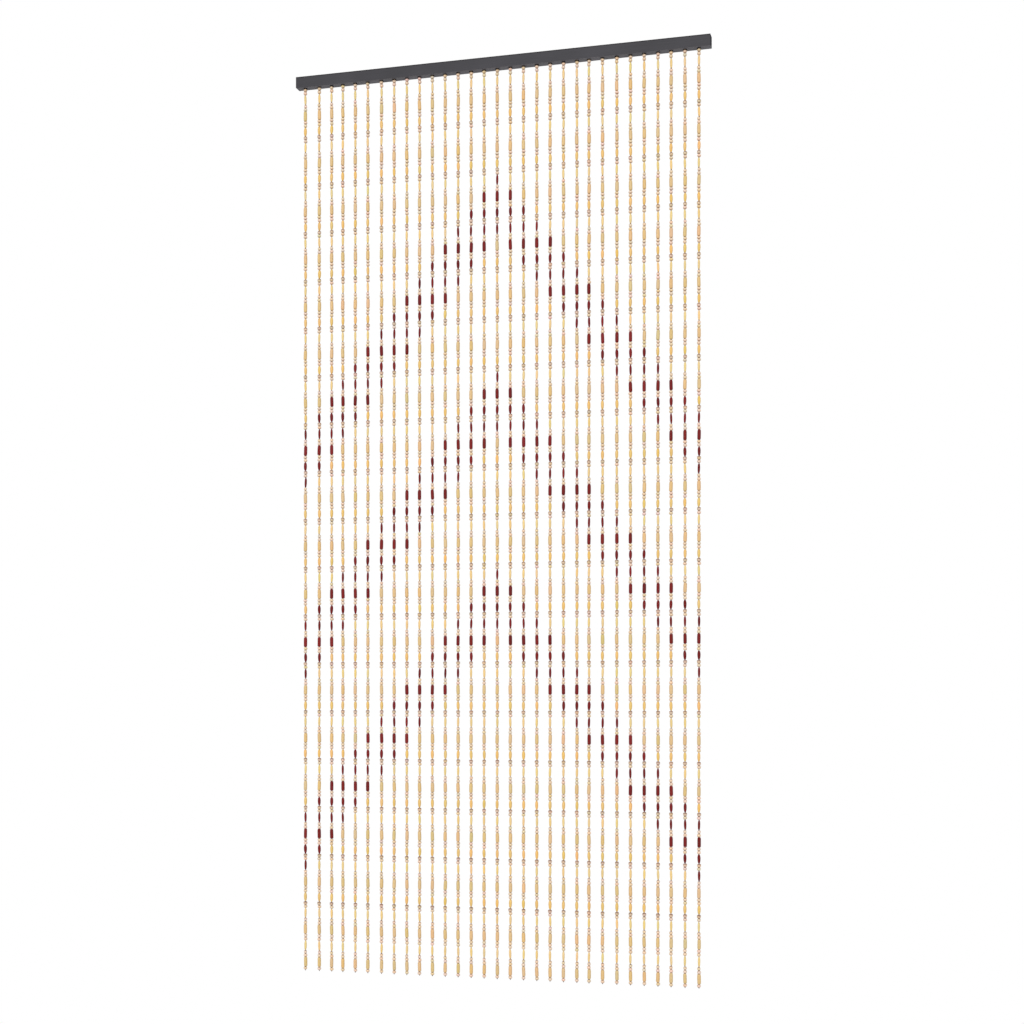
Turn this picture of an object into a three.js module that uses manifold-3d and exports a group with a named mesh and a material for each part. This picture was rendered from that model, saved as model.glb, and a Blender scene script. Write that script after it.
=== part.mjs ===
// Bead curtain with its rail: strands of turned wooden beads that hang from a painted batten.
//
// Units are millimetres, +Z is up and -Y faces the viewer. The origin is the middle of the rail's top
// face, so the strands hang towards -Z.

import * as THREE from 'three';
import { mergeVertices } from 'three/addons/utils/BufferGeometryUtils.js';
import Module from 'manifold-3d';

// Driving dimensions
const RAIL = { length: 917, height: 24, depth: 20.5, chamfer: 1 };
const STRANDS = { count: 31, pitch: 29.1, shift: -3.2, drop: 1945.5, topClearance: 0.5, sides: 4 };
const HOLE = { diameter: 9, depth: 8, sides: 8 };
const ROOT = { diameter: 6, clearance: 0.3 };
const KNOT = { diameter: 2.4, length: 2.4 };

// Beads: length along the cord and widest diameter. The long ones shape the strand, and the short
// ones fill the space between them.
const BEADS = {
  slim: { length: 21.9, diameter: 5.3, long: true },
  barrel: { length: 21.1, diameter: 7.5, long: true },
  oval: { length: 19.7, diameter: 6.7, long: true },
  small: { length: 6.8, diameter: 7.1, long: false },
  round: { length: 7.3, diameter: 8.1, long: false },
  flat: { length: 6.65, diameter: 8.4, long: false },
  collar: { length: 7.5, diameter: 8.5, long: false },
};

// Order of the beads on a strand, from the rail down
const TOP = ['flat', 'round'];
const REPEAT = ['slim', 'small', 'round', 'barrel', 'flat', 'round', 'oval', 'collar', 'flat'];
const REPEATS = 17;
const TAIL = [
  'slim', 'small', 'round', 'barrel', 'round', 'round',
  'slim', 'small', 'round', 'barrel', 'flat',
];

// Runs of strands whose holes were drilled off the even pitch, and how far towards +X
const DRILLED_OFF = [
  { first: 2, last: 3, offset: 3.5 },
  { first: 4, last: 6, offset: 0.5 },
  { first: 7, last: 22, offset: 3 },
  { first: 25, last: 28, offset: 1.5 },
];

// Finishes
const PAINTED_BATTEN = { color: 0x4d4d4e, roughness: 0.6, metalness: 0 };
const TURNED_WOOD = { color: 0xd9b98c, roughness: 0.55, metalness: 0 };

const railUnderside = -RAIL.height;
const strandTop = railUnderside - STRANDS.topClearance;
const strandBottom = strandTop - STRANDS.drop;
const rootTop = railUnderside + HOLE.depth - ROOT.clearance;

const wasm = await Module();
wasm.setup();

// A closed three.js geometry as a solid that can be cut
function toSolid(geometry) {
  const bare = geometry.clone();
  bare.deleteAttribute('normal');
  bare.deleteAttribute('uv');
  const merged = mergeVertices(bare);
  return new wasm.Manifold(new wasm.Mesh({
    numProp: 3,
    vertProperties: new Float32Array(merged.attributes.position.array),
    triVerts: new Uint32Array(merged.index.array),
  }));
}

// A solid as a three.js geometry
function toGeometry(solid) {
  const mesh = solid.getMesh();
  const geometry = new THREE.BufferGeometry();
  geometry.setAttribute('position', new THREE.BufferAttribute(new Float32Array(mesh.vertProperties), 3));
  geometry.setIndex(new THREE.BufferAttribute(new Uint32Array(mesh.triVerts), 1));
  geometry.computeVertexNormals();
  return geometry;
}

function makeMesh(name, geometry, finish) {
  const mesh = new THREE.Mesh(geometry, new THREE.MeshStandardMaterial(finish));
  mesh.name = name;
  return mesh;
}

// Middle of each strand along the rail, the first at the left. The row sits a little to the left of the
// rail's middle.
function strandPlaces() {
  const places = [];
  const firstX = STRANDS.shift - STRANDS.pitch * (STRANDS.count - 1) / 2;
  for (let number = 1; number <= STRANDS.count; number += 1) {
    const run = DRILLED_OFF.find((row) => number >= row.first && number <= row.last);
    places.push(firstX + STRANDS.pitch * (number - 1) + (run ? run.offset : 0));
  }
  return places;
}

// The beads of one strand with the height of their middles. What the beads and the end knot leave of the
// drop is shared out evenly between them.
function placedBeads() {
  const kinds = [...TOP];
  for (let repeat = 0; repeat < REPEATS; repeat += 1) {
    kinds.push(...REPEAT);
  }
  kinds.push(...TAIL);
  const beads = kinds.map((kind) => BEADS[kind]);
  const filled = beads.reduce((sum, bead) => sum + bead.length, 0);
  const slack = (STRANDS.drop - KNOT.length - filled) / beads.length;
  let height = strandTop;
  return beads.map((bead) => {
    const middle = height - (slack + bead.length) / 2;
    height -= slack + bead.length;
    return { ...bead, middle };
  });
}

// A strand as one turned solid: its root in the rail, a swell or waist at every long bead, and the
// first and last beads next to the rail and the end knot
function strandGeometry() {
  const beads = placedBeads();
  const firstBead = beads[0];
  const lastBead = beads[beads.length - 1];
  const shaping = beads.filter((bead) => bead.long || bead === firstBead || bead === lastBead);
  const profile = [
    new THREE.Vector2(0, strandBottom),
    new THREE.Vector2(KNOT.diameter / 2, strandBottom),
  ];
  for (const bead of shaping.reverse()) {
    profile.push(new THREE.Vector2(bead.diameter / 2, bead.middle));
  }
  profile.push(new THREE.Vector2(ROOT.diameter / 2, rootTop));
  profile.push(new THREE.Vector2(0, rootTop));
  return new THREE.LatheGeometry(profile, STRANDS.sides).rotateX(Math.PI / 2);
}

// The batten's section, with its four long edges chamfered
function railSection() {
  const halfDepth = RAIL.depth / 2;
  const innerDepth = halfDepth - RAIL.chamfer;
  const section = new THREE.Shape();
  section.moveTo(-innerDepth, 0);
  section.lineTo(-halfDepth, -RAIL.chamfer);
  section.lineTo(-halfDepth, railUnderside + RAIL.chamfer);
  section.lineTo(-innerDepth, railUnderside);
  section.lineTo(innerDepth, railUnderside);
  section.lineTo(halfDepth, railUnderside + RAIL.chamfer);
  section.lineTo(halfDepth, -RAIL.chamfer);
  section.lineTo(innerDepth, 0);
  section.closePath();
  return section;
}

// The batten with a blind hole in its underside for each strand
function railGeometry(places) {
  const batten = new THREE.ExtrudeGeometry(railSection(), { depth: RAIL.length, bevelEnabled: false });
  batten.rotateX(Math.PI / 2).rotateZ(Math.PI / 2).translate(-RAIL.length / 2, 0, 0);
  let solid = toSolid(batten);
  const radius = HOLE.diameter / 2;
  const drill = new THREE.CylinderGeometry(radius, radius, 2 * HOLE.depth, HOLE.sides);
  drill.rotateX(Math.PI / 2).translate(0, 0, railUnderside);
  for (const place of places) {
    solid = solid.subtract(toSolid(drill.clone().translate(place, 0, 0)));
  }
  return toGeometry(solid);
}

const curtain = new THREE.Group();
const places = strandPlaces();
curtain.add(makeMesh('rail', railGeometry(places), PAINTED_BATTEN));
places.forEach((place, index) => {
  const number = String(index + 1).padStart(2, '0');
  const strand = makeMesh(`strand_${number}`, strandGeometry(), TURNED_WOOD);
  strand.position.x = place;
  curtain.add(strand);
});

export default curtain;
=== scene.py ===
"""Looks of the bead curtain: beads strung on their cords, and the painted batten that carries them.

Lengths are in metres, +Z is up and -Y faces the viewer. The strands and the rail take their places from the
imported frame.
"""
import math
import random

import bpy
import numpy as np
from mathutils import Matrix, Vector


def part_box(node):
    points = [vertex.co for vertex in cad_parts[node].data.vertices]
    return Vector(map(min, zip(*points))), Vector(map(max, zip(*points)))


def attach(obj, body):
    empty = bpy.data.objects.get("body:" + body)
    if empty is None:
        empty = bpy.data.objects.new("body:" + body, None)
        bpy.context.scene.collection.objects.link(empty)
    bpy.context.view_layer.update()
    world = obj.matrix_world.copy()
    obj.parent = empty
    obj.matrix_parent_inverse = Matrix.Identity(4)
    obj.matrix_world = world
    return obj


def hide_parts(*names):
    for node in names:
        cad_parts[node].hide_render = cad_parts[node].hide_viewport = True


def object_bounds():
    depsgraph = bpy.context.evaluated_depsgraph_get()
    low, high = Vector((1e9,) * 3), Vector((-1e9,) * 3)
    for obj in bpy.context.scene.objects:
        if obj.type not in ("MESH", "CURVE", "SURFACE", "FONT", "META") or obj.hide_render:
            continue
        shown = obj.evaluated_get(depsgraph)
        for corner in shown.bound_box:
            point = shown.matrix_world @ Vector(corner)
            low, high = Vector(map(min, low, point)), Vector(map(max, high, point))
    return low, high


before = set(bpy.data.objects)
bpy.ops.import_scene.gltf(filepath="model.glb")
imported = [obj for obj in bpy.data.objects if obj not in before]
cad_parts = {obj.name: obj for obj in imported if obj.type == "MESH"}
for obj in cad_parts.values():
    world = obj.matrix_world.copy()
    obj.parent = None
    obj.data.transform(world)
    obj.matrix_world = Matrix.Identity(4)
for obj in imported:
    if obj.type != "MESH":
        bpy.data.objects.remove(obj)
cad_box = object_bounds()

MM = 0.001
SEED = 16

# Beads, in millimetres. pitch: length along the cord with the bare cord below the bead. widest: where the
# bead is widest, from 0 at its top to 1 at its foot. top_end and foot_end: diameter of the flat ends as a
# share of the widest one. top_full and foot_full: 2 is an ellipse, more is squarer, less is more pointed.
BEADS = {
    "slim": {
        "pitch": 21.9, "length": 21.2, "diameter": 5.3, "widest": 0.45,
        "top_end": 0.22, "top_full": 2.3, "foot_end": 0.5, "foot_full": 2.3,
    },
    "barrel": {
        "pitch": 21.1, "length": 20.8, "diameter": 7.5, "widest": 0.5,
        "top_end": 0.74, "top_full": 5, "foot_end": 0.62, "foot_full": 8,
    },
    "oval": {
        "pitch": 19.7, "length": 19.5, "diameter": 6.7, "widest": 0.44,
        "top_end": 0.28, "top_full": 2.4, "foot_end": 0.25, "foot_full": 2.1,
    },
    "small": {
        "pitch": 6.8, "length": 6.7, "diameter": 7.1, "widest": 0.48,
        "top_end": 0.65, "top_full": 2.5, "foot_end": 0.45, "foot_full": 2.1,
    },
    "round": {
        "pitch": 7.3, "length": 7.2, "diameter": 8.1, "widest": 0.5,
        "top_end": 0.5, "top_full": 2.1, "foot_end": 0.45, "foot_full": 2.1,
    },
    "flat": {
        "pitch": 6.65, "length": 6.55, "diameter": 8.4, "widest": 0.5,
        "top_end": 0.5, "top_full": 2.1, "foot_end": 0.45, "foot_full": 2.1,
    },
    "collar": {
        "pitch": 7.5, "length": 7.4, "diameter": 8.5, "widest": 0.48,
        "top_end": 0.7, "top_full": 3, "foot_end": 0.5, "foot_full": 2.3,
    },
}
LONG_KINDS = ("slim", "barrel", "oval")
ROUND_KINDS = ("small", "round", "flat")
BEAD_HOLE_RADIUS = 1.05 * MM

# Painted shade at a bead's ends, where it meets its neighbours: how dark it is, and where it begins, from
# 0 at the bead's middle to 1 at its end. 0 is plain wood and 1 the full painted shade, which a value above 1
# reaches before the end.
END_SHADE = {
    "slim": {"top": 0, "top_from": 0.9, "foot": 0.8, "foot_from": 0.88},
    "barrel": {"top": 0, "top_from": 0.95, "foot": 0, "foot_from": 0.95},
    "oval": {"top": 0, "top_from": 0.9, "foot": 0.45, "foot_from": 0.93},
    "small": {"top": 1, "top_from": 0.6, "foot": 0.58, "foot_from": 0.2},
    "round": {"top": 0.6, "top_from": 0.6, "foot": 0.55, "foot_from": 0.2},
    "flat": {"top": 0.75, "top_from": 0.55, "foot": 0.72, "foot_from": 0.2},
    "collar": {"top": 1.55, "top_from": 0.15, "foot": 0.7, "foot_from": 0.3},
}

# Faces of a bead: sides around it, bands along its outside, and the angle from which an edge stays crisp
SIDES = 10
LONG_BANDS = 8
SHORT_BANDS = 5
SHARP_ANGLE = math.radians(50)

# Order of the beads on a strand, from the rail down
TOP = ["flat", "round"]
REPEAT = ["slim", "small", "round", "barrel", "flat", "round", "oval", "collar", "flat"]
REPEATS = 17
TAIL = ["slim", "small", "round", "barrel", "round", "round", "slim", "small", "round", "barrel", "flat"]

# Red chevrons: each is a run of red long beads that starts one long bead lower on every strand away from the
# middle one. Long beads are counted from the top.
MIDDLE_STRAND = 16
CHEVRON_STARTS = (6, 18, 30)
CHEVRON_RUN = 4

# How unevenly the beads are made and hang
WIDTH_SPREAD = 0.03
LENGTH_SPREAD = 0.01
TILT_SPREAD = math.radians(2.5)
SIDE_SPREAD = 0.35 * MM
HANG_SPREAD = 0.3 * MM

# Grain of the wood: drawn out along the bead, and each bead is cut from a place of its own in the wood
GRAIN_SQUEEZE = 0.14
GRAIN_RANGE = 90

# Unrolled surface: each bead and the cord have a square cell of their own, filled up to a margin
CELL_FILL = 0.92
CELL_MARGIN = 0.04

CORD_RADIUS = 0.55 * MM
CORD_TIP_RADIUS = 0.05 * MM
KNOT_RADIUS = 1.2 * MM
KNOT_LENGTH = 2.4 * MM
TOP_CLEARANCE = 0.5 * MM

RAIL_EDGE = 0.7 * MM
RAIL_EDGE_STEPS = 4
# Width of the painted shade along the rail's top edge
RAIL_TOP_SHADE_BAND = 3 * MM
# A face of the batten is flat, and not part of an eased edge or a round hole, where its normal is this near
# to an axis
FLAT_FACE = 0.999
HOLE_DIAMETER = 9 * MM
HOLE_DEPTH = 8 * MM
HOLE_SIDES = 28

# Camera: level, with the horizon below the middle of the picture
PICTURE_PX = 1024
FOCAL_PX = 1650
HORIZON_PX = 697
SENSOR_MM = 36
CAMERA_PLACE = (0.953, -3.3962, -1.3665)
CAMERA_YAW = math.radians(15.165)
CAMERA_REACH = 200

# Light
AMBIENT = 1.0
KEY_STRENGTH = 1.55
KEY_FROM = (0.05, -1.0, 0.35)
KEY_ANGLE = math.radians(36)
FLOOR_GAP = 0.05
FLOOR_SIZE = 60
FLOOR_COLOUR = (0.85, 0.85, 0.85, 1)
WHITE = (1, 1, 1, 1)


def srgb(red, green, blue):
    """A display colour, 0 to 255, as the linear colour that a shader takes."""
    parts = []
    for value in (red, green, blue):
        share = value / 255
        parts.append(share / 12.92 if share <= 0.04045 else ((share + 0.055) / 1.055) ** 2.4)
    return (*parts, 1.0)


# Finish of each kind of bead, and of the long ones that are dyed. shade_spread: how much the lightness
# differs from bead to bead, as a share of the colour.
FINISHES = {
    "slim": {
        "material": "slim_wood", "wood": srgb(209, 180, 119), "shade_spread": 0.02,
        "roughness": 0.45, "specular": 0.4, "coat": 0.1, "grain_depth": 0.15 * MM,
    },
    "barrel": {
        "material": "barrel_wood", "wood": srgb(196, 165, 114), "shade_spread": 0.015,
        "roughness": 0.48, "specular": 0.4, "coat": 0.05, "grain_depth": 0.2 * MM,
    },
    "oval": {
        "material": "oval_wood", "wood": srgb(207, 168, 95), "shade_spread": 0.015,
        "roughness": 0.42, "specular": 0.4, "coat": 0.1, "grain_depth": 0.15 * MM,
    },
    "round": {
        "material": "round_wood", "wood": srgb(209, 183, 154), "shade_spread": 0.02,
        "roughness": 0.35, "specular": 0.5, "coat": 0.8, "grain_depth": 0.08 * MM,
    },
    "collar": {
        "material": "collar_wood", "wood": srgb(195, 169, 140), "shade_spread": 0.04,
        "roughness": 0.35, "specular": 0.5, "coat": 1, "grain_depth": 0.08 * MM,
    },
    "red": {
        "material": "red_dye", "wood": srgb(106, 27, 26), "shade_spread": 0.1,
        "roughness": 0.5, "specular": 0.1, "coat": 0, "grain_depth": 0.15 * MM,
    },
}
# How much the wood's warmth and yellowness differ from bead to bead, as shares of its colour. A warmer bead
# has less green, by this share of what it has more of red.
WARMTH_SPREAD = 0.032
YELLOW_SPREAD = 0.1
GREEN_LOSS = 0.6
GLOSS_SPREAD = 0.08
COAT_ROUGHNESS = 0.25

# Colour of the painted shade at the beads' ends
END_SHADE_COLOUR = srgb(154, 109, 77)
CORD_COLOUR = srgb(112, 88, 66)
RAIL_COLOUR = srgb(51, 50, 54)
# Near black inside the rail's holes: painted shade in the recess
HOLE_SHADE_COLOUR = srgb(20, 16, 14)
# Painted light and shade on the rail: its paint is multiplied by these, as painted light on the underside
# and as painted shade along the top edge
UNDERSIDE_PAINTED_LIGHT = 2.15
TOP_EDGE_PAINTED_SHADE = 0.3


# Materials


def set_inputs(node, values):
    """Sets inputs of a node by their names."""
    for name, value in values.items():
        node.inputs[name].default_value = value


def new_material(name):
    """A new material with its links, its Principled shader and a function that adds nodes to it."""
    material = bpy.data.materials.new(name)
    material.use_nodes = True
    tree = material.node_tree
    shader = tree.nodes["Principled BSDF"]

    def add(kind, inputs=None, **settings):
        node = tree.nodes.new(kind)
        for key, value in settings.items():
            setattr(node, key, value)
        set_inputs(node, inputs or {})
        return node

    return material, tree.links, shader, add


def shaded(colour, factor):
    """A colour made darker or lighter."""
    return tuple(part * factor for part in colour[:3]) + (1.0,)


def set_ramp(ramp, dark, light):
    """Sets both ends of a colour ramp, each a position and its colour."""
    for element, (position, colour) in zip(ramp.color_ramp.elements, (dark, light)):
        element.position = position
        element.color = colour


def add_bump(add, links, shader, height, strength, depth):
    """Raises the surface of a material where a node's output is high."""
    bump = add("ShaderNodeBump", {"Strength": strength, "Distance": depth})
    links.new(height, bump.inputs["Height"])
    links.new(bump.outputs["Normal"], shader.inputs["Normal"])


def bead_material(finish):
    """Turned wood: a tint of its own for each bead, streaks along it, painted shade at its ends and a satin
    varnish.
    """
    material, links, shader, add = new_material(finish["material"])
    tint = add("ShaderNodeAttribute", attribute_name="tint")
    tinted = add("ShaderNodeVectorMath", operation="MULTIPLY")
    tinted.inputs[0].default_value = finish["wood"][:3]
    links.new(tint.outputs["Vector"], tinted.inputs[1])

    grain = add("ShaderNodeAttribute", attribute_name="grain")
    streaks = add("ShaderNodeTexNoise", {"Scale": 1.6, "Detail": 3})
    links.new(grain.outputs["Vector"], streaks.inputs["Vector"])
    streak_range = {"From Min": 0.3, "From Max": 0.7, "To Min": 0.84, "To Max": 1.08}
    streak_shade = add("ShaderNodeMapRange", streak_range)
    links.new(streaks.outputs["Fac"], streak_shade.inputs["Value"])
    streaked = add("ShaderNodeVectorMath", operation="SCALE")
    links.new(tinted.outputs["Vector"], streaked.inputs[0])
    links.new(streak_shade.outputs["Result"], streaked.inputs["Scale"])

    # Painted shade at the bead's ends, multiplied into the wood's colour
    end_shade = add("ShaderNodeAttribute", attribute_name="end_shade")
    end_shaded = add("ShaderNodeMixRGB", {"Color2": END_SHADE_COLOUR}, blend_type="MULTIPLY")
    links.new(end_shade.outputs["Fac"], end_shaded.inputs["Fac"])
    links.new(streaked.outputs["Vector"], end_shaded.inputs["Color1"])
    links.new(end_shaded.outputs["Color"], shader.inputs["Base Color"])

    roughness = finish["roughness"]
    gloss_range = {"To Min": roughness - GLOSS_SPREAD, "To Max": roughness + GLOSS_SPREAD}
    gloss = add("ShaderNodeMapRange", gloss_range)
    links.new(streaks.outputs["Fac"], gloss.inputs["Value"])
    links.new(gloss.outputs["Result"], shader.inputs["Roughness"])
    add_bump(add, links, shader, streaks.outputs["Fac"], strength=0.35, depth=finish["grain_depth"])
    set_inputs(shader, {
        "Specular IOR Level": finish["specular"],
        "Coat Weight": finish["coat"],
        "Coat Roughness": COAT_ROUGHNESS,
    })
    return material


def cord_material():
    """Twisted cotton: fine slanting bands across the cord."""
    material, links, shader, add = new_material("cord_cotton")
    place = add("ShaderNodeAttribute", attribute_name="grain")
    twist = add("ShaderNodeTexWave", {"Scale": 1.2, "Distortion": 1.5}, bands_direction="DIAGONAL")
    links.new(place.outputs["Vector"], twist.inputs["Vector"])
    ramp = add("ShaderNodeValToRGB")
    set_ramp(ramp, dark=(0, shaded(CORD_COLOUR, 0.6)), light=(1, CORD_COLOUR))
    links.new(twist.outputs["Fac"], ramp.inputs["Fac"])
    links.new(ramp.outputs["Color"], shader.inputs["Base Color"])
    add_bump(add, links, shader, twist.outputs["Fac"], strength=0.6, depth=0.1 * MM)
    set_inputs(shader, {"Roughness": 0.9})
    return material


def rail_material():
    """Dark grey satin paint on planed wood, slightly uneven and with some grain showing.

    It has painted shade along the top edge and painted light on the underside.
    """
    material, links, shader, add = new_material("rail_paint")
    place = add("ShaderNodeTexCoord")
    stretch = add("ShaderNodeMapping", {"Scale": (6, 240, 240)})
    links.new(place.outputs["Object"], stretch.inputs["Vector"])
    grain = add("ShaderNodeTexNoise", {"Scale": 2.5, "Detail": 5, "Roughness": 0.6})
    links.new(stretch.outputs["Vector"], grain.inputs["Vector"])
    cloud = add("ShaderNodeTexNoise", {"Scale": 7, "Detail": 2})
    links.new(place.outputs["Object"], cloud.inputs["Vector"])
    both = add("ShaderNodeMix", {"Factor": 0.7}, data_type="FLOAT")
    links.new(grain.outputs["Fac"], both.inputs["A"])
    links.new(cloud.outputs["Fac"], both.inputs["B"])
    ramp = add("ShaderNodeValToRGB")
    set_ramp(ramp, dark=(0.25, shaded(RAIL_COLOUR, 0.65)), light=(0.75, shaded(RAIL_COLOUR, 1.4)))
    links.new(both.outputs["Result"], ramp.inputs["Fac"])

    # Painted shade along the top edge and painted light on the underside, both multiplied into the paint
    height = add("ShaderNodeSeparateXYZ")
    links.new(place.outputs["Object"], height.inputs["Vector"])
    top_edge_shade_range = {
        "From Min": -RAIL_TOP_SHADE_BAND, "From Max": -RAIL_TOP_SHADE_BAND / 2,
        "To Min": 1, "To Max": TOP_EDGE_PAINTED_SHADE,
    }
    top_edge_shade = add("ShaderNodeMapRange", top_edge_shade_range)
    links.new(height.outputs["Z"], top_edge_shade.inputs["Value"])
    facing = add("ShaderNodeSeparateXYZ")
    links.new(place.outputs["Normal"], facing.inputs["Vector"])
    underside_light_range = {"From Min": -0.9, "From Max": -0.3, "To Min": UNDERSIDE_PAINTED_LIGHT, "To Max": 1}
    underside = add("ShaderNodeMapRange", underside_light_range)
    links.new(facing.outputs["Z"], underside.inputs["Value"])
    light_and_shade = add("ShaderNodeMath", operation="MULTIPLY")
    links.new(top_edge_shade.outputs["Result"], light_and_shade.inputs[0])
    links.new(underside.outputs["Result"], light_and_shade.inputs[1])
    paint = add("ShaderNodeVectorMath", operation="SCALE")
    links.new(ramp.outputs["Color"], paint.inputs[0])
    links.new(light_and_shade.outputs["Value"], paint.inputs["Scale"])
    links.new(paint.outputs["Vector"], shader.inputs["Base Color"])

    gloss = add("ShaderNodeMapRange", {"To Min": 0.45, "To Max": 0.68})
    links.new(cloud.outputs["Fac"], gloss.inputs["Value"])
    links.new(gloss.outputs["Result"], shader.inputs["Roughness"])
    add_bump(add, links, shader, grain.outputs["Fac"], strength=0.4, depth=0.25 * MM)
    set_inputs(shader, {"Specular IOR Level": 0.2})
    return material


def porous_material(name, colour):
    """Dull wood, mottled by its pores: the painted sawn ends, and the inside of the holes, whose near black
    is painted shade.
    """
    material, links, shader, add = new_material(name)
    place = add("ShaderNodeTexCoord")
    pores = add("ShaderNodeTexNoise", {"Scale": 900, "Detail": 3})
    links.new(place.outputs["Object"], pores.inputs["Vector"])
    ramp = add("ShaderNodeValToRGB")
    set_ramp(ramp, dark=(0.3, shaded(colour, 0.6)), light=(0.7, shaded(colour, 1.5)))
    links.new(pores.outputs["Fac"], ramp.inputs["Fac"])
    links.new(ramp.outputs["Color"], shader.inputs["Base Color"])
    add_bump(add, links, shader, pores.outputs["Fac"], strength=0.4, depth=0.2 * MM)
    set_inputs(shader, {"Roughness": 0.9, "Specular IOR Level": 0})
    return material


# Beads


def bead_order():
    """Kinds of the beads on a strand, from the rail down."""
    return TOP + REPEAT * REPEATS + TAIL


def outer_profile(bead, bands):
    """Radius and height of a bead's outside, from its top to its foot, with its middle at height 0."""
    radius = bead["diameter"] / 2 * MM
    length = bead["length"] * MM
    points = []
    for step in range(bands + 1):
        along = -math.cos(math.pi * step / bands)
        if along < 0:
            half = "top"
            down = bead["widest"] * (1 + along)
        else:
            half = "foot"
            down = bead["widest"] + (1 - bead["widest"]) * along
        power = bead[f"{half}_full"]
        reach = (1 - bead[f"{half}_end"] ** power) ** (1 / power)
        width = radius * (1 - abs(along * reach) ** power) ** (1 / power)
        points.append((width, length * (0.5 - down)))
    return points


def turned(profile):
    """A ring-shaped solid: a closed profile of radius and height turned about the cord.

    Gives its points, its four-sided faces, and for each face corner its place on the unrolled surface.
    """
    rows = len(profile)
    points = []
    for radius, height in profile:
        for side in range(SIDES):
            angle = 2 * math.pi * side / SIDES
            points.append((radius * math.cos(angle), radius * math.sin(angle), height))
    faces = []
    unrolled = []
    for row in range(rows):
        upper = row * SIDES
        lower = (row + 1) % rows * SIDES
        high = 1 - row / rows
        low = 1 - (row + 1) / rows
        for side in range(SIDES):
            beside = (side + 1) % SIDES
            left = side / SIDES
            right = (side + 1) / SIDES
            faces.append((upper + side, lower + side, lower + beside, upper + beside))
            unrolled.append(((left, high), (left, low), (right, low), (right, high)))
    return np.array(points), np.array(faces), np.array(unrolled)


def bead_pattern(kind):
    """One bead of a kind, with a drilled hole through it."""
    outside = outer_profile(BEADS[kind], LONG_BANDS if kind in LONG_KINDS else SHORT_BANDS)
    top = outside[0][1]
    foot = outside[-1][1]
    points, faces, unrolled = turned(outside + [(BEAD_HOLE_RADIUS, foot), (BEAD_HOLE_RADIUS, top)])
    # How much painted shade each point of the bead gets, darkest towards its ends
    shade_at_ends = END_SHADE[kind]
    along = [-1, -shade_at_ends["foot_from"], shade_at_ends["top_from"], 1]
    end_shade = np.interp(points[:, 2] / top, along, [shade_at_ends["foot"], 0, 0, shade_at_ends["top"]])
    return {"points": points, "faces": faces, "unrolled": unrolled, "end_shade": end_shade}


def cord_pattern(top, foot):
    """The cord from its knot in the rail to the one under the last bead, both turned with it."""
    profile = [
        (CORD_TIP_RADIUS, top),
        (KNOT_RADIUS, top - KNOT_LENGTH / 2),
        (CORD_RADIUS, top - KNOT_LENGTH),
        (CORD_RADIUS, foot + KNOT_LENGTH),
        (KNOT_RADIUS, foot + KNOT_LENGTH / 2),
        (CORD_TIP_RADIUS, foot),
    ]
    points, faces, unrolled = turned(profile)
    return {"points": points, "faces": faces, "unrolled": unrolled, "end_shade": np.zeros(len(points))}


def tilted(points, turn, lean, towards):
    """Points turned about the cord and then leaned a little to one side."""
    x = points[:, 0] * math.cos(turn) - points[:, 1] * math.sin(turn)
    y = points[:, 0] * math.sin(turn) + points[:, 1] * math.cos(turn)
    along_lean = x * math.cos(towards) + y * math.sin(towards)
    height = points[:, 2] * math.cos(lean) - along_lean * math.sin(lean)
    shift = along_lean * (math.cos(lean) - 1) + points[:, 2] * math.sin(lean)
    return np.column_stack((x + shift * math.cos(towards), y + shift * math.sin(towards), height))


def uneven_points(pattern, draw):
    """A bead's points with the small unevenness of a real one: size, turn, lean and place on the cord."""
    wide = 1 + draw.uniform(-WIDTH_SPREAD, WIDTH_SPREAD)
    tall = 1 - draw.uniform(0, LENGTH_SPREAD)
    turn = draw.uniform(0, 2 * math.pi)
    towards = draw.uniform(0, 2 * math.pi)
    lean = draw.uniform(0, TILT_SPREAD)
    aside_x = draw.uniform(-SIDE_SPREAD, SIDE_SPREAD)
    aside_y = draw.uniform(-SIDE_SPREAD, SIDE_SPREAD)
    points = tilted(pattern["points"] * np.array((wide, wide, tall)), turn, lean, towards)
    return points + np.array((aside_x, aside_y, 0))


def is_red(strand_number, long_index):
    """Whether a long bead belongs to a chevron."""
    start = long_index - abs(strand_number - MIDDLE_STRAND)
    return any(first <= start < first + CHEVRON_RUN for first in CHEVRON_STARTS)


def bead_tint(look, draw):
    """What one bead's wood colour is multiplied by, so that no two beads are quite alike."""
    warm = WARMTH_SPREAD * draw.gauss(0, 1)
    yellow = YELLOW_SPREAD * draw.gauss(0, 1)
    shade = 1 + FINISHES[look]["shade_spread"] * draw.gauss(0, 1)
    return np.array((1 + warm, 1 - GREEN_LOSS * warm, 1 - yellow)) * shade


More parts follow.
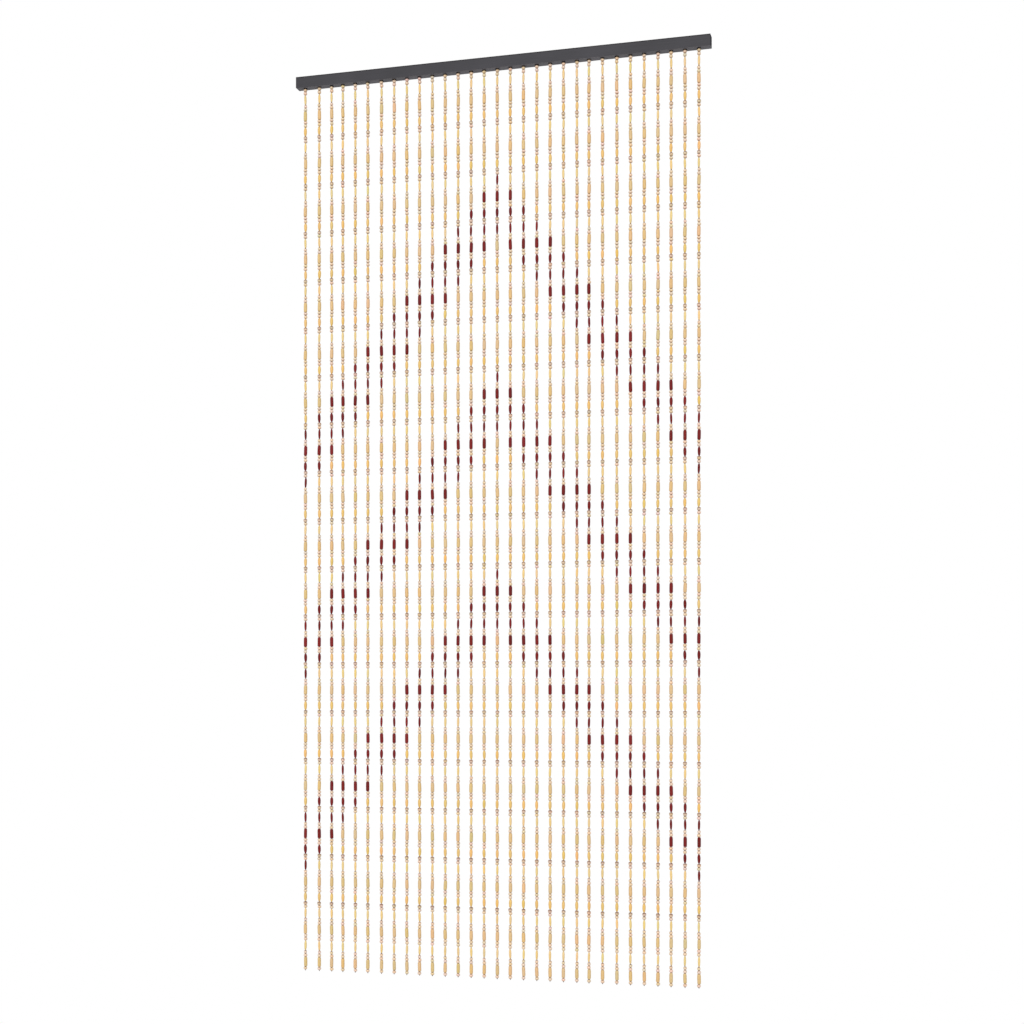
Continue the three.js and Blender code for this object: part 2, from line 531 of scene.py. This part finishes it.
class StrandMesh:
    """Collects the points, faces and attributes of all that hangs on one cord."""

    def __init__(self, cells):
        self.grid = math.ceil(math.sqrt(cells))
        self.points = []
        self.faces = []
        self.unrolled = []
        self.end_shades = []
        self.tints = []
        self.grains = []
        self.materials = []
        self.count = 0
        self.pieces = 0

    def add(self, pattern, points, tint, grain_offset, material_index):
        """Adds one bead, or the cord."""
        number = len(points)
        cell = np.array((self.pieces % self.grid, self.pieces // self.grid))
        self.points.append(points)
        self.faces.append(pattern["faces"] + self.count)
        self.unrolled.append((pattern["unrolled"] * CELL_FILL + CELL_MARGIN + cell) / self.grid)
        self.end_shades.append(pattern["end_shade"])
        self.tints.append(np.tile(tint, (number, 1)))
        self.grains.append(pattern["points"] / MM * np.array((1, 1, GRAIN_SQUEEZE)) + grain_offset)
        self.materials.append(np.full(len(pattern["faces"]), material_index))
        self.count += number
        self.pieces += 1

    def build(self, name, materials):
        """Joins all that was added into one object."""
        mesh = bpy.data.meshes.new(name)
        mesh.from_pydata(np.concatenate(self.points), [], np.concatenate(self.faces))
        mesh.polygons.foreach_set("material_index", np.concatenate(self.materials).astype(np.int32))
        end_shade = mesh.attributes.new("end_shade", "FLOAT", "POINT")
        end_shade.data.foreach_set("value", np.concatenate(self.end_shades))
        tint = mesh.attributes.new("tint", "FLOAT_VECTOR", "POINT")
        tint.data.foreach_set("vector", np.concatenate(self.tints).ravel())
        grain = mesh.attributes.new("grain", "FLOAT_VECTOR", "POINT")
        grain.data.foreach_set("vector", np.concatenate(self.grains).ravel())
        layer = mesh.uv_layers.new(name="OFBake")
        layer.uv.foreach_set("vector", np.concatenate(self.unrolled).ravel())
        for material in materials:
            mesh.materials.append(material)
        mesh.shade_smooth()
        mesh.set_sharp_from_angle(angle=SHARP_ANGLE)
        mesh.update()
        piece = bpy.data.objects.new(name, mesh)
        bpy.context.scene.collection.objects.link(piece)
        return piece


def strand_nodes():
    """Names of the strands in the frame."""
    return [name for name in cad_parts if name.startswith("strand_")]


def strand_middle(node):
    """Where a strand hangs, along the rail and across it."""
    low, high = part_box(node)
    return (low[0] + high[0]) / 2, (low[1] + high[1]) / 2


def make_strand(number, patterns, materials, order, draw):
    """One strand: its cord, and its beads in order."""
    node = f"strand_{number:02d}"
    low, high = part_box(node)
    middle_x, middle_y = strand_middle(node)
    rail_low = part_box("rail")[0]
    top = rail_low[2] - TOP_CLEARANCE
    filled = sum(BEADS[kind]["pitch"] for kind in order) * MM
    slack = (top - low[2] - KNOT_LENGTH - filled) / len(order)

    strand = StrandMesh(len(order) + 1)
    index_of = {name: index for index, name in enumerate(materials)}
    cord = cord_pattern(high[2], low[2])
    place = np.array((middle_x, middle_y, 0))
    strand.add(cord, cord["points"] + place, np.ones(3), np.zeros(3), index_of["cord"])

    height = top + draw.uniform(-HANG_SPREAD, 0)
    long_index = 0
    for kind in order:
        bead = BEADS[kind]
        height -= slack / 2 + bead["length"] * MM / 2
        points = uneven_points(patterns[kind], draw) + np.array((middle_x, middle_y, height))
        grain_offset = np.array([draw.uniform(0, GRAIN_RANGE) for axis in range(3)])
        look = "round" if kind in ROUND_KINDS else kind
        if kind in LONG_KINDS:
            if is_red(number, long_index):
                look = "red"
            long_index += 1
        tint = bead_tint(look, draw)
        strand.add(patterns[kind], points, tint, grain_offset, index_of[look])
        height -= (bead["pitch"] - bead["length"] / 2) * MM + slack / 2

    piece = strand.build(f"beads_{number:02d}", materials.values())
    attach(piece, "root")
    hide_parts(node)


def make_strands():
    """All the strands, from left to right."""
    order = bead_order()
    patterns = {kind: bead_pattern(kind) for kind in BEADS}
    materials = {look: bead_material(finish) for look, finish in FINISHES.items()}
    materials["cord"] = cord_material()
    draw = random.Random(SEED)
    for number in range(1, len(strand_nodes()) + 1):
        make_strand(number, patterns, materials, order, draw)


# Rail


def box_mesh(name, low, high):
    """A closed box between two corners."""
    corners = [(x, y, z) for x in (low[0], high[0]) for y in (low[1], high[1]) for z in (low[2], high[2])]
    faces = [(0, 1, 3, 2), (4, 6, 7, 5), (0, 4, 5, 1), (2, 3, 7, 6), (0, 2, 6, 4), (1, 5, 7, 3)]
    mesh = bpy.data.meshes.new(name)
    mesh.from_pydata(corners, [], faces)
    return mesh


def drill_mesh(places, underside):
    """One upright drill for each hole, all in one mesh."""
    points = []
    faces = []
    for x, y in places:
        start = len(points)
        for height in (underside - HOLE_DEPTH, underside + HOLE_DEPTH):
            for side in range(HOLE_SIDES):
                angle = 2 * math.pi * side / HOLE_SIDES
                points.append((
                    x + HOLE_DIAMETER / 2 * math.cos(angle),
                    y + HOLE_DIAMETER / 2 * math.sin(angle),
                    height,
                ))
        lower = list(range(start, start + HOLE_SIDES))
        upper = list(range(start + HOLE_SIDES, start + 2 * HOLE_SIDES))
        faces.append(lower[::-1])
        faces.append(upper)
        for side in range(HOLE_SIDES):
            beside = (side + 1) % HOLE_SIDES
            faces.append((lower[side], lower[beside], upper[beside], upper[side]))
    mesh = bpy.data.meshes.new("drills")
    mesh.from_pydata(points, [], faces)
    return mesh


def drilled_batten(low, high):
    """Mesh of a planed bar with eased edges and a drilled hole above each strand."""
    bar = bpy.data.objects.new("bar", box_mesh("bar", low, high))
    places = [strand_middle(node) for node in strand_nodes()]
    drills = bpy.data.objects.new("drills", drill_mesh(places, low[2]))
    collection = bpy.context.scene.collection
    collection.objects.link(bar)
    collection.objects.link(drills)
    ease = bar.modifiers.new("ease", "BEVEL")
    ease.width = RAIL_EDGE
    ease.segments = RAIL_EDGE_STEPS
    cut = bar.modifiers.new("cut", "BOOLEAN")
    cut.operation = "DIFFERENCE"
    cut.object = drills
    cut.solver = "EXACT"
    settled = bar.evaluated_get(bpy.context.evaluated_depsgraph_get())
    mesh = bpy.data.meshes.new_from_object(settled)
    mesh.name = "rail_batten"
    for helper in (bar, drills):
        bpy.data.objects.remove(helper)
    return mesh


def rail_look(face, low, high):
    """Which finish a face of the batten has: painted shade inside a hole, a sawn end, or the painted sides.
    """
    if all(low[axis] + RAIL_EDGE < face.center[axis] < high[axis] - RAIL_EDGE for axis in range(3)):
        return "hole_shade"
    if abs(face.normal[0]) >= FLAT_FACE:
        return "end_grain"
    return "paint"


def make_rail():
    """The batten with its paint."""
    low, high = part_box("rail")
    mesh = drilled_batten(low, high)
    materials = {
        "paint": rail_material(),
        "end_grain": porous_material("rail_end_grain", RAIL_COLOUR),
        # The inside of the holes is painted near black, as painted shade
        "hole_shade": porous_material("rail_hole_shade", HOLE_SHADE_COLOUR),
    }
    index_of = {name: index for index, name in enumerate(materials)}
    mesh.materials.clear()
    for material in materials.values():
        mesh.materials.append(material)
    for face in mesh.polygons:
        face.use_smooth = max(abs(part) for part in face.normal) < FLAT_FACE
        face.material_index = index_of[rail_look(face, low, high)]
    batten = bpy.data.objects.new("rail_batten", mesh)
    bpy.context.scene.collection.objects.link(batten)
    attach(batten, "root")
    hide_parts("rail")


# Stage


def make_floor():
    """A pale floor just below the curtain, which the camera sees as white as the background."""
    level = cad_box[0][2] - FLOOR_GAP
    half = FLOOR_SIZE / 2
    mesh = bpy.data.meshes.new("floor")
    mesh.from_pydata(
        [(-half, -half, level), (half, -half, level), (half, half, level), (-half, half, level)],
        [],
        [(0, 1, 2, 3)],
    )
    material, links, shader, add = new_material("floor_white")
    set_inputs(shader, {"Base Color": FLOOR_COLOUR, "Roughness": 0.9, "Specular IOR Level": 0})
    white = add("ShaderNodeEmission")
    path = add("ShaderNodeLightPath")
    mix = add("ShaderNodeMixShader")
    links.new(path.outputs["Is Camera Ray"], mix.inputs["Fac"])
    links.new(shader.outputs["BSDF"], mix.inputs[1])
    links.new(white.outputs["Emission"], mix.inputs[2])
    links.new(mix.outputs["Shader"], material.node_tree.nodes["Material Output"].inputs["Surface"])
    mesh.materials.append(material)
    floor = bpy.data.objects.new("floor", mesh)
    bpy.context.scene.collection.objects.link(floor)


def make_world():
    """White all round for the camera, and an even fill for the light."""
    world = bpy.data.worlds.new("studio")
    bpy.context.scene.world = world
    world.use_nodes = True
    tree = world.node_tree
    fill = tree.nodes["Background"]
    set_inputs(fill, {"Color": WHITE, "Strength": AMBIENT})
    white = tree.nodes.new("ShaderNodeBackground")
    set_inputs(white, {"Color": WHITE})
    path = tree.nodes.new("ShaderNodeLightPath")
    mix = tree.nodes.new("ShaderNodeMixShader")
    tree.links.new(path.outputs["Is Camera Ray"], mix.inputs["Fac"])
    tree.links.new(fill.outputs["Background"], mix.inputs[1])
    tree.links.new(white.outputs["Background"], mix.inputs[2])
    tree.links.new(mix.outputs["Shader"], tree.nodes["World Output"].inputs["Surface"])


def make_key_light():
    """A broad, even light from the front and a little above."""
    light = bpy.data.lights.new("key", "SUN")
    light.energy = KEY_STRENGTH
    light.angle = KEY_ANGLE
    key = bpy.data.objects.new("key", light)
    x, y, z = KEY_FROM
    key.rotation_euler = (math.atan2(math.hypot(x, y), z), 0, math.atan2(y, x) + math.pi / 2)
    bpy.context.scene.collection.objects.link(key)


def make_camera():
    """The camera, in front of the curtain, to its right and below its middle."""
    data = bpy.data.cameras.new("camera")
    data.sensor_width = SENSOR_MM
    data.lens = SENSOR_MM * FOCAL_PX / PICTURE_PX
    data.shift_y = (HORIZON_PX - PICTURE_PX / 2) / PICTURE_PX
    data.clip_end = CAMERA_REACH
    camera = bpy.data.objects.new("camera", data)
    camera.location = CAMERA_PLACE
    camera.rotation_euler = (math.pi / 2, 0, CAMERA_YAW)
    bpy.context.scene.collection.objects.link(camera)
    bpy.context.scene.camera = camera


make_camera()
make_world()
make_key_light()
make_floor()
make_rail()
make_strands()
bpy.context.scene.view_settings.view_transform = "Standard"
